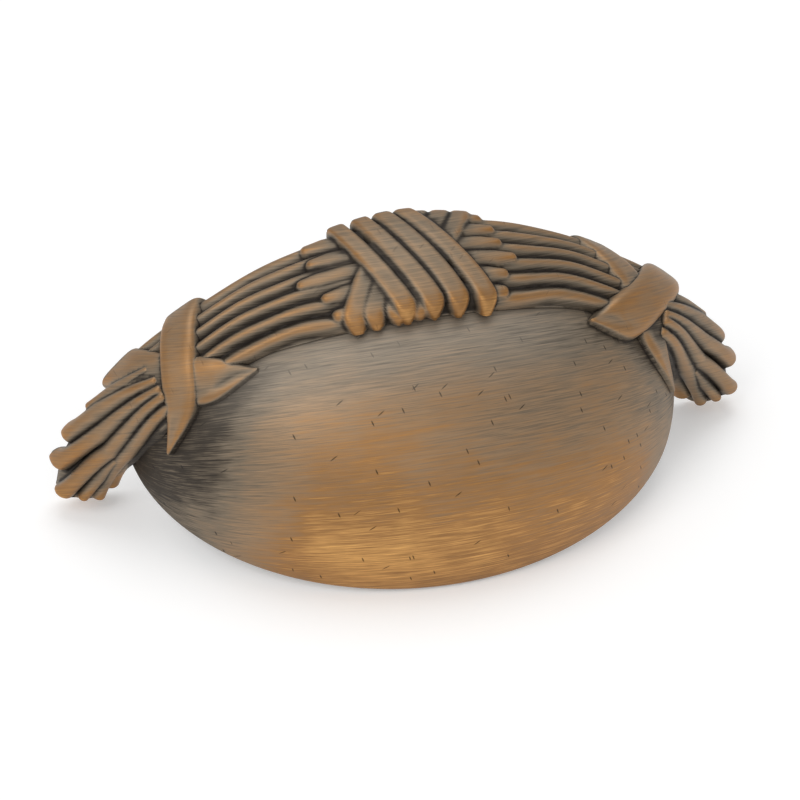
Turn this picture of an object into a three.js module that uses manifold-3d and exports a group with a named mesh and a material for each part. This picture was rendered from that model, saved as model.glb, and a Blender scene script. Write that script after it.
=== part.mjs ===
// Edge cup pull, cast in one piece: a hollow half-dome finger cup under an arch of bound reeds.
// Millimetres. +X runs along the drawer front, +Y points into the drawer, +Z is up.
// The casting is worked out from its mounting face at y = 0, and then stood with its middle over
// the origin, so that the lip and the feet of the wings touch z = 0.
import * as THREE from "three";
import { mergeVertices } from "three/addons/utils/BufferGeometryUtils.js";
import Module from "manifold-3d";

const wasm = await Module();
wasm.setup();

// Finger cup
const CUP_HALF_WIDTH = 41;
const CUP_DEPTH = 34.6;
const CUP_RISE = 29;
const LIP_DROP = 8;
const WALL = 2.4;

// Arch of reeds that lies over the cup and ends in two leaf-shaped wings
const ARCH_INNER_ANGLE = 63;
const ARCH_LIFT = 2.2;
const ARCH_CROWN_POWER = 0.6;
const WING_LIFT = 3.4;
const WING_REACH = 10.9;
const WING_FOOT = 1.0;
const WING_ROOT_SHORT = 1.8;
const WING_ROOT_RISE = 0.4;
const WING_ROOT_OUT = 2.2;
const WING_ROOT_FORWARD = 1.2;
const WING_ROOT_DROP = 2.6;
const FOOT_SHORT = 0.3;
const FOOT_OUT = 3.8;
const FOOT_THICKNESS = 2.0;
const REED_COUNT = 6;
const REED_HEIGHT = 1.0;
const REEDS_END = 43;
const REED_FADE = 3;

// Where the arch's cross-sections stand on the cup: the angle along it, how far the arch's edge
// lies outside the cup's outline, and how much lower and how much higher the section is
const ARCH_SECTIONS = [
  { along: 90, overhang: 2.3, lowered: 0, raised: 0 },
  { along: 72.2, overhang: 1.4, lowered: 0, raised: 0 },
  { along: 56.7, overhang: 0.8, lowered: 0, raised: 0 },
  { along: 41.9, overhang: 1.0, lowered: 5, raised: 0.2 },
  { along: 27.4, overhang: 2.6, lowered: 12, raised: 0.5 },
  { along: 11.3, overhang: 5.8, lowered: 30, raised: 0.6 },
];

// Binding of crossed bands: the distance along the arch of each band's top and bottom
const OVER_BANDS = [[-9.0, -3.1], [-5.6, 0.6], [-2.6, 4.0], [0.2, 8.0]];
const UNDER_BANDS = [[-0.6, -10.1], [2.5, -7.4], [5.6, -4.4], [8.6, -1.4]];
const BAND_TOP_REACH = 8.2;
const BAND_END_REACH = 6.7;
const BAND_TOP_WIDTH = 2.95;
const BAND_END_WIDTH = 3.5;
const OVER_BAND_HEIGHT = 2.3;
const UNDER_BAND_HEIGHT = 1.8;

// Leaf fingers beside the binding: how far up each lies and how far it reaches
const LEFT_FINGERS = [[6.0, 14.6], [2.9, 14.4], [-0.1, 16.4], [-3.3, 13.9], [-6.0, 13.2]];
const RIGHT_FINGERS = [
  [6.9, 11.4], [4.3, 12.3], [1.7, 12.6], [-0.9, 14.1], [-3.6, 12.3], [-6.1, 11.9],
];
const FINGER_REACH = 16.4;
const FINGER_WIDTH = 2.9;
const FINGER_HEIGHT = 1.5;
const FINGER_ROOT_SHARE = 0.9;
const FINGER_TIP_SHARE = 0.72;
const FINGER_SPREAD = 0.8;

// Pair of crossed ribbons at each side, as [distance along, distance up], down to the tails
const LEFT_STEEP_RIBBON = [
  [30.8, 9.6], [32.3, 6.4], [33.5, 3.0], [35.0, -2.2], [37.6, -7.2], [40.4, -11.2],
];
const RIGHT_STEEP_RIBBON = [
  [27.0, 9.6], [30.0, 4.6], [33.0, 0.0], [36.0, -4.2], [39.3, -8.6], [42.2, -12.6],
];
const LEFT_FLAT_RIBBON = [
  [46.4, 8.6], [42.6, 3.6], [39.2, -0.4], [35.0, -3.9], [30.6, -6.8], [25.3, -9.2],
];
const RIGHT_FLAT_RIBBON = [
  [44.6, 8.6], [40.6, 3.8], [37.0, -0.2], [33.2, -4.2], [29.4, -7.4], [25.0, -9.6],
];
const RIBBON_WIDTH = 6.2;
const OVER_RIBBON_HEIGHT = 2.1;
const UNDER_RIBBON_HEIGHT = 1.5;
const RIBBON_ROOT = 3.0;
const CUP_END_LIMIT = 0.99;
const TAIL_SHARE = 0.24;
const TAIL_CURVE = 1.2;
const TAIL_NARROWING = 0.93;
const RIBBON_POWER = 6;
const STEEP_TIP_ASIDE = 1.6;
const FLAT_TIP_ASIDE = -1.0;

// Leaf lobes on each wing, from the root over a bend to the tip, as [back from the foot, up]
const LOBE_HEIGHT = 1.9;
const LOBES = [
  { line: [[24.5, 0.6], [18.5, 2.3], [13.9, 3.7]], widths: [1.6, 2.5, 1.4], share: 0.85 },
  { line: [[25, -1.5], [15.1, 2.2], [8.4, 3.9]], widths: [1.6, 2.8, 1.7], share: 1.0 },
  { line: [[25, -2.8], [12.5, 0.5], [4.4, 3.5]], widths: [1.6, 2.6, 1.7], share: 1.05 },
  { line: [[25, -3.7], [11.1, -1.5], [0.9, 2.3]], widths: [1.6, 2.3, 2.0], share: 1.1 },
  { line: [[10, -2.4], [5.5, -1.3], [1.2, 0.2]], widths: [0.9, 1.9, 1.5], share: 0.95 },
  { line: [[25, -4.9], [11.8, -3.2], [1.3, -1.6]], widths: [1.4, 2.0, 1.6], share: 1.0 },
  { line: [[25, -6.2], [10, -4.9], [2.2, -3.5]], widths: [1.6, 2.3, 1.6], share: 1.0 },
];

// Screw posts, tapped from the back
const HOLE_SPACING = 76.2;
const POST_HEIGHT = 16.5;
const POST_RADIUS = 4.2;
const HOLE_RADIUS = 1.65;
const HOLE_DEPTH = 6.8;

// Fineness of the carved surface
const ROWS = 24;
const CUP_STEPS = 40;
const CUP_ANGLE_STEP = 6.5;
const HOLLOW_ROWS = 24;
const BAND_STEP = 0.74;
const UPRIGHT_FROM = 20;
const REED_STEP = 2.2;
const LEAF_STEP = 0.75;
const RIBBON_STEPS = 22;
const RIBBON_ACROSS = 6;
const BRIDGING_ROUNDS = 5;
const POST_SIDES = 24;
const HOLE_SIDES = 16;
const CLEAR = 1;
const PLACES = 400;
const SMALL = 0.001;
const SHORTEST_EDGE = 0.03;
const NORMAL_STEP = 0.004;

// Roundness of each kind of strand's section: a rounded bar, flatter on top with a higher power
const BAND_POWER = 5;
const FINGER_POWER = 2.3;
const LOBE_POWER = 2;

const radians = THREE.MathUtils.degToRad;
const vec = (x, y, z) => new THREE.Vector3(x, y, z);

// Point on the outside of the cup: along runs from one end of the cup to the other, over from
// straight ahead (0) up to the mounting face (90).
function cupPoint(along, over, inset = 0) {
  const ring = Math.sin(radians(along));
  return vec(
    (CUP_HALF_WIDTH - inset) * Math.cos(radians(along)),
    -(CUP_DEPTH - inset) * ring * Math.cos(radians(over)),
    LIP_DROP + (CUP_RISE - inset) * ring * Math.sin(radians(over)),
  );
}

// Point on the mounting face, a given distance outside the cup's own outline
function outlinePoint(along, overhang) {
  const outward = vec(
    Math.cos(radians(along)) / CUP_HALF_WIDTH, 0, Math.sin(radians(along)) / CUP_RISE,
  ).normalize();
  return cupPoint(along, 90).addScaledVector(outward, overhang);
}

const onCup = (along, over, overhang, lift) => ({
  outer: outlinePoint(along, overhang), inner: cupPoint(along, over), lift,
});

// Cross-sections of the arch from the middle to the wing's foot: the outer edge on the mounting
// face, the inner edge on the cup, and how high the section rises between them.
function halfStations() {
  const end = CUP_HALF_WIDTH;
  return [
    ...ARCH_SECTIONS.map(({ along, overhang, lowered, raised }) => (
      onCup(along, ARCH_INNER_ANGLE - lowered, overhang, ARCH_LIFT + raised)
    )),
    {
      outer: vec(end + WING_REACH - WING_ROOT_SHORT, 0, LIP_DROP + WING_ROOT_RISE),
      inner: vec(end + WING_ROOT_OUT, -WING_ROOT_FORWARD, LIP_DROP - WING_ROOT_DROP),
      lift: WING_LIFT,
    },
    {
      outer: vec(end + WING_REACH - FOOT_SHORT, 0, WING_FOOT + FOOT_THICKNESS),
      inner: vec(end + FOOT_OUT, 0, WING_FOOT),
      lift: WING_LIFT,
    },
  ];
}

const HALF = halfStations();
const LAST = HALF.length - 1;

function mirrored(station) {
  const flip = (point) => vec(-point.x, point.y, point.z);
  return { outer: flip(station.outer), inner: flip(station.inner), lift: station.lift };
}

const STATIONS = [...HALF.slice(1).reverse().map(mirrored), ...HALF];
const smoothCurve = (points) => new THREE.CatmullRomCurve3(points, false, "catmullrom", 0.5);
const OUTER = smoothCurve(STATIONS.map((station) => station.outer));
const INNER = smoothCurve(STATIONS.map((station) => station.inner));
const LIFT = smoothCurve(STATIONS.map((station) => vec(station.lift, 0, 0)));
const MIDDLE = (place) => OUTER.getPoint(place).add(INNER.getPoint(place)).multiplyScalar(0.5);

// Distance along the arch, measured from the middle, at evenly spaced places on its curves
const DISTANCES = (() => {
  const list = [0];
  for (let i = 1; i <= PLACES; i += 1) {
    const step = MIDDLE(i / PLACES).distanceTo(MIDDLE((i - 1) / PLACES));
    list.push(list[i - 1] + step);
  }
  return list.map((value) => value - list[PLACES / 2]);
})();
const ARCH_HALF_LENGTH = DISTANCES[PLACES];

function placeAt(distance) {
  const next = DISTANCES.findIndex((value) => value >= distance - SMALL);
  if (next <= 0) {
    return next === 0 ? 0 : 1;
  }
  const span = DISTANCES[next] - DISTANCES[next - 1];
  return (next - 1 + (distance - DISTANCES[next - 1]) / span) / PLACES;
}

// Smooth arch before carving: across runs from 0 at the outer edge to 1 at the inner edge
function archPoint(place, across) {
  const at = THREE.MathUtils.clamp(place, 0, 1);
  const outer = OUTER.getPoint(at);
  const chord = INNER.getPoint(at).sub(outer);
  const raise = chord.clone().cross(OUTER.getTangent(at)).normalize();
  const crown = (1 - (2 * across - 1) ** 2) ** ARCH_CROWN_POWER;
  return outer.addScaledVector(chord, across).addScaledVector(raise, LIFT.getPoint(at).x * crown);
}

function archNormal(place, across) {
  const low = Math.max(across - NORMAL_STEP, 0);
  const high = Math.min(across + NORMAL_STEP, 1);
  const acrossWay = archPoint(place, high).sub(archPoint(place, low));
  return acrossWay.cross(OUTER.getTangent(place)).normalize();
}

// One straight piece of a strand: how far off its middle line a point lies, in half widths
function offPiece(from, to, width, endWidth, along, up) {
  const way = [to[0] - from[0], to[1] - from[1]];
  const dot = (along - from[0]) * way[0] + (up - from[1]) * way[1];
  const part = THREE.MathUtils.clamp(dot / (way[0] ** 2 + way[1] ** 2), 0, 1);
  const half = (width + (endWidth - width) * part) / 2;
  return Math.hypot(along - from[0] - way[0] * part, up - from[1] - way[1] * part) / half;
}

// A carved strand along a bent line in arch coordinates [distance along, distance up], with round
// ends. Its section is a rounded bar: flatter on top with a higher power.
function strand(line, widths, height, power) {
  return (along, up) => {
    const offs = line.slice(1).map((to, i) => (
      offPiece(line[i], to, widths[i], widths[i + 1], along, up)
    ));
    const off = Math.min(...offs);
    return off < 1 ? height * Math.sqrt(1 - off ** power) : 0;
  };
}

function bindingBands(bands, height) {
  const widths = [BAND_TOP_WIDTH, BAND_END_WIDTH];
  return bands.map(([top, bottom]) => (
    strand([[top, BAND_TOP_REACH], [bottom, -BAND_END_REACH]], widths, height, BAND_POWER)
  ));
}

// A finger is widest a little before its tip
function leafFingers(side, fingers) {
  const widths = [FINGER_WIDTH * FINGER_ROOT_SHARE, FINGER_WIDTH, FINGER_WIDTH * FINGER_TIP_SHARE];
  return fingers.map(([up, reach]) => {
    const line = [
      [0, up * FINGER_SPREAD],
      [side * (reach - FINGER_WIDTH), up],
      [side * (reach - FINGER_WIDTH / 3), up],
    ];
    return strand(line, widths, FINGER_HEIGHT, FINGER_POWER);
  });
}

function wingLobes(side) {
  return LOBES.map(({ line, widths, share }) => {
    const placed = line.map(([back, up]) => [side * (ARCH_HALF_LENGTH - back), up]);
    return strand(placed, widths, LOBE_HEIGHT * share, LOBE_POWER);
  });
}

const CARVING = [
  ...bindingBands(OVER_BANDS, OVER_BAND_HEIGHT), ...bindingBands(UNDER_BANDS, UNDER_BAND_HEIGHT),
  ...leafFingers(-1, LEFT_FINGERS), ...leafFingers(1, RIGHT_FINGERS),
  ...wingLobes(-1), ...wingLobes(1),
];

function reedHeight(along, across) {
  const fade = THREE.MathUtils.smoothstep(REEDS_END - Math.abs(along), 0, REED_FADE);
  return REED_HEIGHT * fade * Math.sqrt(Math.abs(Math.sin(Math.PI * REED_COUNT * across)));
}

// Distance up from the middle of the arch's face
function upFrom(place, across) {
  return (0.5 - across) * OUTER.getPoint(place).distanceTo(INNER.getPoint(place));
}

function carvedPoint(along, across) {
  const place = placeAt(along);
  const up = upFrom(place, across);
  const heights = CARVING.map((shape) => shape(along, up));
  const height = Math.max(reedHeight(along, across), ...heights);
  const point = archPoint(place, across).addScaledVector(archNormal(place, across), height);
  point.y = Math.min(point.y, 0);
  point.z = Math.max(point.z, 0);
  return point;
}

// How much the sections lean, as distance along for each distance up: with each over band where it
// crosses the middle of the face, upright beyond the fingers, and in between from one to the next
const LEANS = (() => {
  const rise = BAND_TOP_REACH + BAND_END_REACH;
  const bands = OVER_BANDS.map(([top, bottom]) => ({
    along: top + ((bottom - top) * BAND_TOP_REACH) / rise,
    lean: (top - bottom) / rise,
  }));
  return [{ along: -UPRIGHT_FROM, lean: 0 }, ...bands, { along: UPRIGHT_FROM, lean: 0 }];
})();

function leanAt(along) {
  const next = LEANS.findIndex((entry) => entry.along > along);
  if (next <= 0) {
    return 0;
  }
  const [before, after] = [LEANS[next - 1], LEANS[next]];
  const part = (along - before.along) / (after.along - before.along);
  return THREE.MathUtils.lerp(before.lean, after.lean, part);
}

function skewedPoint(along, across) {
  return carvedPoint(along + leanAt(along) * upFrom(placeAt(along), across), across);
}

// Even steps from one distance to another, leaving the last one out
function steps(from, to, size) {
  const count = Math.max(1, Math.round((to - from) / size));
  return Array.from({ length: count }, (_, i) => from + ((to - from) * i) / count);
}

// Distances along the arch at which it is cut into sections, closest where the carving is finest
function sectionDistances() {
  const half = [
    ...steps(0, FINGER_REACH, BAND_STEP), ...steps(FINGER_REACH, REEDS_END, REED_STEP),
    ...steps(REEDS_END, ARCH_HALF_LENGTH, LEAF_STEP), ARCH_HALF_LENGTH,
  ];
  return [...half.slice(1).reverse().map((value) => -value), ...half];
}

function solidOf(geometry) {
  geometry.deleteAttribute("normal");
  geometry.deleteAttribute("uv");
  const merged = mergeVertices(geometry, SMALL);
  return new wasm.Manifold(new wasm.Mesh({
    numProp: 3,
    vertProperties: new Float32Array(merged.attributes.position.array),
    triVerts: new Uint32Array(merged.index.array),
  }));
}

function geometryOf(solid) {
  const mesh = solid.getMesh();
  const geometry = new THREE.BufferGeometry();
  geometry.setAttribute("position", new THREE.BufferAttribute(mesh.vertProperties, 3));
  geometry.setIndex(new THREE.BufferAttribute(mesh.triVerts, 1));
  geometry.computeVertexNormals();
  return geometry;
}

// Closed tube through rings of points, with a fan at each end. The faces between the first rings,
// as many as flipped says, are split along their other diagonal.
function tubeSolid(rings, flipped = 0) {
  const size = rings[0].length;
  const positions = rings.flat().flatMap((point) => point.toArray());
  const index = [];
  for (let i = 0; i + 1 < rings.length; i += 1) {
    for (let j = 0; j < size; j += 1) {
      const a = i * size + j;
      const b = i * size + ((j + 1) % size);
      if (i < flipped) {
        index.push(a, b, b + size, a, b + size, a + size);
      } else {
        index.push(a, b, a + size, b, b + size, a + size);
      }
    }
  }
  [[0, 1], [rings.length - 1, -1]].forEach(([ring, way]) => {
    const centre = rings[ring].reduce((sum, point) => sum.add(point), vec(0, 0, 0)).divideScalar(size);
    const tip = positions.length / 3;
    positions.push(...centre.toArray());
    for (let j = 0; j < size; j += 1) {
      const pair = [ring * size + j, ring * size + ((j + 1) % size)];
      index.push(tip, pair[way > 0 ? 1 : 0], pair[way > 0 ? 0 : 1]);
    }
  });
  const geometry = new THREE.BufferGeometry();
  geometry.setAttribute("position", new THREE.Float32BufferAttribute(positions, 3));
  geometry.setIndex(index);
  return solidOf(geometry);
}

// The arch is closed behind by one edge on the mounting face. On the left side the faces are split
// the other way, so that they follow the lobes as they do on the right.
function archSolid() {
  const distances = sectionDistances();
  const leftSide = distances.filter((along) => along < -FINGER_REACH);
  const rings = distances.map((along) => {
    const front = Array.from({ length: ROWS + 1 }, (_, j) => skewedPoint(along, j / ROWS));
    return [...front, front[ROWS].clone().setY(0)];
  });
  return tubeSolid(rings, leftSide.length);
}

// Wedge of the cup's ellipsoid between the plane of the lip and the mounting face
function cupSolid() {
  const lipAngle = -THREE.MathUtils.radToDeg(Math.asin(LIP_DROP / CUP_RISE));
  const over = steps(lipAngle, 90, CUP_ANGLE_STEP);
  const rings = steps(0, 180, 180 / CUP_STEPS).slice(1).map((along) => [
    ...[...over, 90].map((angle) => cupPoint(along, angle)),
    cupPoint(along, 0).setY(0),
  ]);
  return tubeSolid(rings);
}

function cupHollow() {
  const geometry = new THREE.SphereGeometry(1, CUP_STEPS, HOLLOW_ROWS);
  geometry.rotateZ(Math.PI / 2);
  geometry.scale(CUP_HALF_WIDTH - WALL, CUP_DEPTH - WALL, CUP_RISE - WALL);
  geometry.translate(0, 0, LIP_DROP);
  return solidOf(geometry);
}

// The plain surface under the ribbons: the arch, below its inner edge the cup, and past its outer
// edge straight back
function carrierPoint(along, up) {
  const place = placeAt(THREE.MathUtils.clamp(along, -ARCH_HALF_LENGTH, ARCH_HALF_LENGTH));
  const half = upFrom(place, 0);
  if (up >= -half) {
    const point = archPoint(place, THREE.MathUtils.clamp((half - up) / (2 * half), 0, 1));
    return point.add(vec(0, Math.max(up - half, 0), 0));
  }
  const edge = INNER.getPoint(place);
  const sideways = THREE.MathUtils.clamp(edge.x / CUP_HALF_WIDTH, -CUP_END_LIMIT, CUP_END_LIMIT);
  const angle = Math.acos(sideways);
  const over = Math.atan2((edge.z - LIP_DROP) / CUP_RISE, -edge.y / CUP_DEPTH);
  const turn = (up + half) / (((CUP_DEPTH + CUP_RISE) / 2) * Math.sin(angle));
  const { radToDeg } = THREE.MathUtils;
  return cupPoint(radToDeg(angle), radToDeg(over + turn));
}

const rowsOf = (count, make) => Array.from({ length: count }, (_, i) => make(i));

// Averages each ring of points with the ones before and after it
function averaged(rings) {
  return rings.map((ring, i) => {
    if (i === 0 || i === rings.length - 1) {
      return ring;
    }
    return ring.map((point, j) => (
      point.clone().multiplyScalar(2).add(rings[i - 1][j]).add(rings[i + 1][j]).divideScalar(4)
    ));
  });
}

// Points of a ribbon on the plain surface. It narrows to a tip, and is averaged along its length
// until it bridges the corner between arch and cup, as a stiff strip would.
function ribbonSurface(path, side, tipAside) {
  const line = new THREE.CatmullRomCurve3(
    path.map(([along, up]) => vec(side * along, up, 0)), false, "catmullrom", 0.5,
  );
  let rings = rowsOf(RIBBON_STEPS + 1, (i) => {
    const place = i / RIBBON_STEPS;
    const centre = line.getPoint(place);
    const way = line.getTangent(place);
    const tail = Math.max(place - 1 + TAIL_SHARE, 0) / TAIL_SHARE;
    const narrowing = tail ** TAIL_CURVE;
    const half = (RIBBON_WIDTH / 2) * (1 - TAIL_NARROWING * narrowing);
    return rowsOf(RIBBON_ACROSS + 1, (j) => {
      const across = Math.sin(Math.PI * (j / RIBBON_ACROSS - 0.5));
      const aside = across * half + side * tipAside * narrowing;
      return carrierPoint(centre.x - way.y * aside, centre.y + way.x * aside);
    });
  });
  for (let round = 0; round < BRIDGING_ROUNDS; round += 1) {
    rings = averaged(rings);
  }
  return rings;
}

function outwardAt(rings, i, j) {
  const last = rings.length - 1;
  const run = rings[Math.min(i + 1, last)][j].clone().sub(rings[Math.max(i - 1, 0)][j]);
  const span = rings[i][Math.min(j + 1, RIBBON_ACROSS)].clone().sub(rings[i][Math.max(j - 1, 0)]);
  const normal = run.cross(span).normalize();
  const away = rings[i][j].clone().sub(vec(0, 0, LIP_DROP));
  return normal.multiplyScalar(Math.sign(normal.dot(away)));
}

// A ribbon's top stands out by its height, with rounded edges, and its underside is sunk
function ribbonSolid(path, side, height, tipAside) {
  const surface = ribbonSurface(path, side, tipAside);
  const rings = surface.map((ring, i) => {
    const tail = Math.max(i / RIBBON_STEPS - 1 + TAIL_SHARE, 0) / TAIL_SHARE;
    const upper = ring.map((point, j) => {
      const across = Math.sin(Math.PI * (j / RIBBON_ACROSS - 0.5));
      const top = height * (1 - tail / 2) * Math.sqrt(1 - across ** RIBBON_POWER);
      return point.clone().addScaledVector(outwardAt(surface, i, j), top);
    });
    const lower = ring.map((point, j) => (
      point.clone().addScaledVector(outwardAt(surface, i, j), -RIBBON_ROOT)
    ));
    return [...upper, ...lower.reverse()];
  });
  return tubeSolid(rings.reverse()).trimByPlane([0, -1, 0], 0);
}

// The ribbon that falls steeply lies on top at the left and below at the right
function leftRibbons() {
  const over = ribbonSolid(LEFT_STEEP_RIBBON, -1, OVER_RIBBON_HEIGHT, STEEP_TIP_ASIDE);
  return over.add(ribbonSolid(LEFT_FLAT_RIBBON, -1, UNDER_RIBBON_HEIGHT, FLAT_TIP_ASIDE));
}

function rightRibbons() {
  const under = ribbonSolid(RIGHT_STEEP_RIBBON, 1, UNDER_RIBBON_HEIGHT, STEEP_TIP_ASIDE);
  return under.add(ribbonSolid(RIGHT_FLAT_RIBBON, 1, OVER_RIBBON_HEIGHT, FLAT_TIP_ASIDE));
}

// Cylinder at a screw post, laid along +Y from one depth to another
function rod(radius, side, from, to, sides) {
  const geometry = new THREE.CylinderGeometry(radius, radius, to - from, sides);
  geometry.translate((side * HOLE_SPACING) / 2, (from + to) / 2, POST_HEIGHT);
  return solidOf(geometry);
}

// The posts are taken out of the hollow before it is cut, so they stay standing in the casting
function casting() {
  let outside = cupSolid().add(archSolid()).add(leftRibbons()).add(rightRibbons());
  let hollow = cupHollow();
  [-1, 1].forEach((side) => {
    outside = outside.subtract(rod(HOLE_RADIUS, side, -HOLE_DEPTH, CLEAR, HOLE_SIDES));
    hollow = hollow.subtract(rod(POST_RADIUS, side, -CUP_DEPTH, CLEAR, POST_SIDES));
  });
  return outside.subtract(hollow).asOriginal().simplify(SHORTEST_EDGE);
}

const bronze = new THREE.MeshStandardMaterial({ color: 0x7d5a41, roughness: 0.45, metalness: 0.85 });
const pull = new THREE.Mesh(geometryOf(casting()), bronze);
pull.name = "cup_pull";
pull.position.y = CUP_DEPTH / 2;

const model = new THREE.Group();
model.add(pull);

export default model;
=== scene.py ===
# %% [markdown]
# A cast cup pull for a drawer: a half-dome that the fingers reach up into, under an arch of bound
# reeds that ends in two leaf wings. The real one is a zinc casting, plated, blackened and then
# brushed back, so that the high spots are bare copper and the hollows stay dark.
# The imported model is loaded first. It gives the body that the finished piece rides on.

# %% Load the frame
import math
import bpy
import numpy as np
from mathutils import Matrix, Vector


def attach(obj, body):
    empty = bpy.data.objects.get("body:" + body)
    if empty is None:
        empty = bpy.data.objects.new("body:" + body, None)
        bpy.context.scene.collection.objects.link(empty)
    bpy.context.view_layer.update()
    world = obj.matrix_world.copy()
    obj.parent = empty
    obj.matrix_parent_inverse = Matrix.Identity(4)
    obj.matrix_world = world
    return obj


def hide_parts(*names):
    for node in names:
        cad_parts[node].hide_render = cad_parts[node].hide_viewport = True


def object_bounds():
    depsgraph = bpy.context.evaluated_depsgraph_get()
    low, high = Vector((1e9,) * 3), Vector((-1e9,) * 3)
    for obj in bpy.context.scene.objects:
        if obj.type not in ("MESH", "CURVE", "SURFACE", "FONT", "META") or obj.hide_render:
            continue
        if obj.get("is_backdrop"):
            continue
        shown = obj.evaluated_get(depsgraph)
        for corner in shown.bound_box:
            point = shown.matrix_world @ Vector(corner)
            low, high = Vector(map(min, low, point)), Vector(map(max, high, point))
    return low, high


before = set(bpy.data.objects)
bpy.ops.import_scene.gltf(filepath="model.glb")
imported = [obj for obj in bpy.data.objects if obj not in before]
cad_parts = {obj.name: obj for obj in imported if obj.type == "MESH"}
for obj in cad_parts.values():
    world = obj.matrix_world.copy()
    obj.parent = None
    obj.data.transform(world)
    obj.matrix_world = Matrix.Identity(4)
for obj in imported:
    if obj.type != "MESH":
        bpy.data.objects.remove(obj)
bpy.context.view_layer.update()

MM = 0.001

# %% [markdown]
# The sizes of the casting, in millimetres, as its maker would state them. The mounting face is
# y = 0 while the shapes are worked out, and everything moves back by half the cup's depth at the
# end, which stands the pull with its middle over the origin.

# %% Sizes of the casting
CUP_HALF_WIDTH, CUP_DEPTH, CUP_RISE, LIP_DROP, WALL = 41.0, 34.6, 29.0, 8.0, 2.4
CUP_RADIUS = (CUP_DEPTH + CUP_RISE) / 2
LIP_ROUND = 0.8
LIP_ANGLE = -math.asin(LIP_DROP / CUP_RISE)
ARCH_INNER_ANGLE, ARCH_LIFT, ARCH_CROWN_POWER = 63.0, 2.2, 0.6
WING_LIFT, WING_REACH, WING_FOOT = 3.4, 10.9, 1.0
REED_COUNT, REED_HEIGHT = 6, 1.0
BAND_REACH, BAND_END, OVER_BAND_HEIGHT, UNDER_BAND_HEIGHT = 8.2, 6.7, 2.3, 1.8
BAND_WIDTHS, BAND_POWER = (2.95, 3.5), 5.0
FINGER_WIDTH, FINGER_HEIGHT, FINGER_POWER = 2.9, 1.5, 2.3
FINGER_SPREAD, FINGER_SHARES = 0.8, (0.9, 1.04, 0.72)
RIBBON_WIDTH, OVER_RIBBON_HEIGHT, UNDER_RIBBON_HEIGHT = 6.2, 2.1, 1.5
STEEP_TIP_ASIDE, FLAT_TIP_ASIDE = 1.6, -1.0
LOBE_HEIGHT = 1.9
HOLE_SPACING, POST_HEIGHT, POST_RADIUS = 76.2, 16.5, 4.2
HOLE_RADIUS, HOLE_DEPTH, THREAD_PITCH, THREAD_DEPTH = 1.65, 6.8, 0.7, 0.3
BACK = CUP_DEPTH / 2

# %% [markdown]
# The camera comes first, because every later choice is judged through it. It stands 400 mm from
# the pull, a little to its left, and looks down at 36 degrees with a long lens.

# %% Camera
PHOTO_PIXELS, SENSOR_MM = 800, 36.0
CAMERA_TURN, CAMERA_TILT, CAMERA_DISTANCE = math.radians(14.5), math.radians(36.4), 400.0
PIXELS_PER_MM = 6.767
CAMERA_TARGET = Vector((0.0, BACK, 8.5))
CLIP_NEAR, CLIP_FAR = 0.01, 10.0


def make_camera():
    """A camera at the target minus the viewing direction times the distance."""
    flat, down = math.cos(CAMERA_TILT), math.sin(CAMERA_TILT)
    look = Vector((math.sin(CAMERA_TURN) * flat, math.cos(CAMERA_TURN) * flat, -down))
    camera = bpy.data.cameras.new("camera")
    camera.sensor_width = SENSOR_MM
    camera.lens = SENSOR_MM * PIXELS_PER_MM * CAMERA_DISTANCE / PHOTO_PIXELS
    camera.clip_start, camera.clip_end = CLIP_NEAR, CLIP_FAR
    holder = bpy.data.objects.new("camera", camera)
    holder.location = (CAMERA_TARGET - look * CAMERA_DISTANCE) * MM
    holder.rotation_euler = look.to_track_quat("-Z", "Y").to_euler()
    bpy.context.scene.collection.objects.link(holder)
    bpy.context.scene.camera = holder
    print("lens, mm:", round(camera.lens, 1))


make_camera()

# %% [markdown]
# The cup is half of an ellipsoid, cut like a slice of melon: one angle runs along it from end to
# end, the other runs over it from straight ahead up to the mounting face. That gives the slanted
# oval lip for free, since the lip is one cut of the slice.

# %% Points of the cup


def cup_point(along, over, inset=0.0):
    """The ellipsoid's point: half width times cos(along), depth and rise times sin(along), shared
    between forwards and upwards by the angle over. Inset makes all three half axes smaller."""
    ring = np.sin(along)
    x = (CUP_HALF_WIDTH - inset) * np.cos(along)
    y = -(CUP_DEPTH - inset) * ring * np.cos(over)
    z = LIP_DROP + (CUP_RISE - inset) * ring * np.sin(over)
    return np.stack(np.broadcast_arrays(x, y, z), axis=-1)


def outline_point(along, overhang):
    """A point on the mounting face, a given distance outside the cup's outline."""
    way = np.array([np.cos(along) / CUP_HALF_WIDTH, 0.0, np.sin(along) / CUP_RISE])
    return cup_point(along, math.pi / 2) + way / np.linalg.norm(way) * overhang


# %% [markdown]
# The arch is carried by two smooth curves: its outer edge on the mounting face and its inner edge
# on the cup. A section between them rises in a soft bow. A few stations fix the curves, and a
# Catmull-Rom curve, which passes through all its points, joins them.

# %% Stations and curves of the arch


def on_cup(along, over, overhang, lift):
    """One station: outer edge, inner edge and lift, as seven numbers."""
    outer = outline_point(math.radians(along), overhang)
    inner = cup_point(math.radians(along), math.radians(over))
    return [*outer, *inner, lift]


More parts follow.
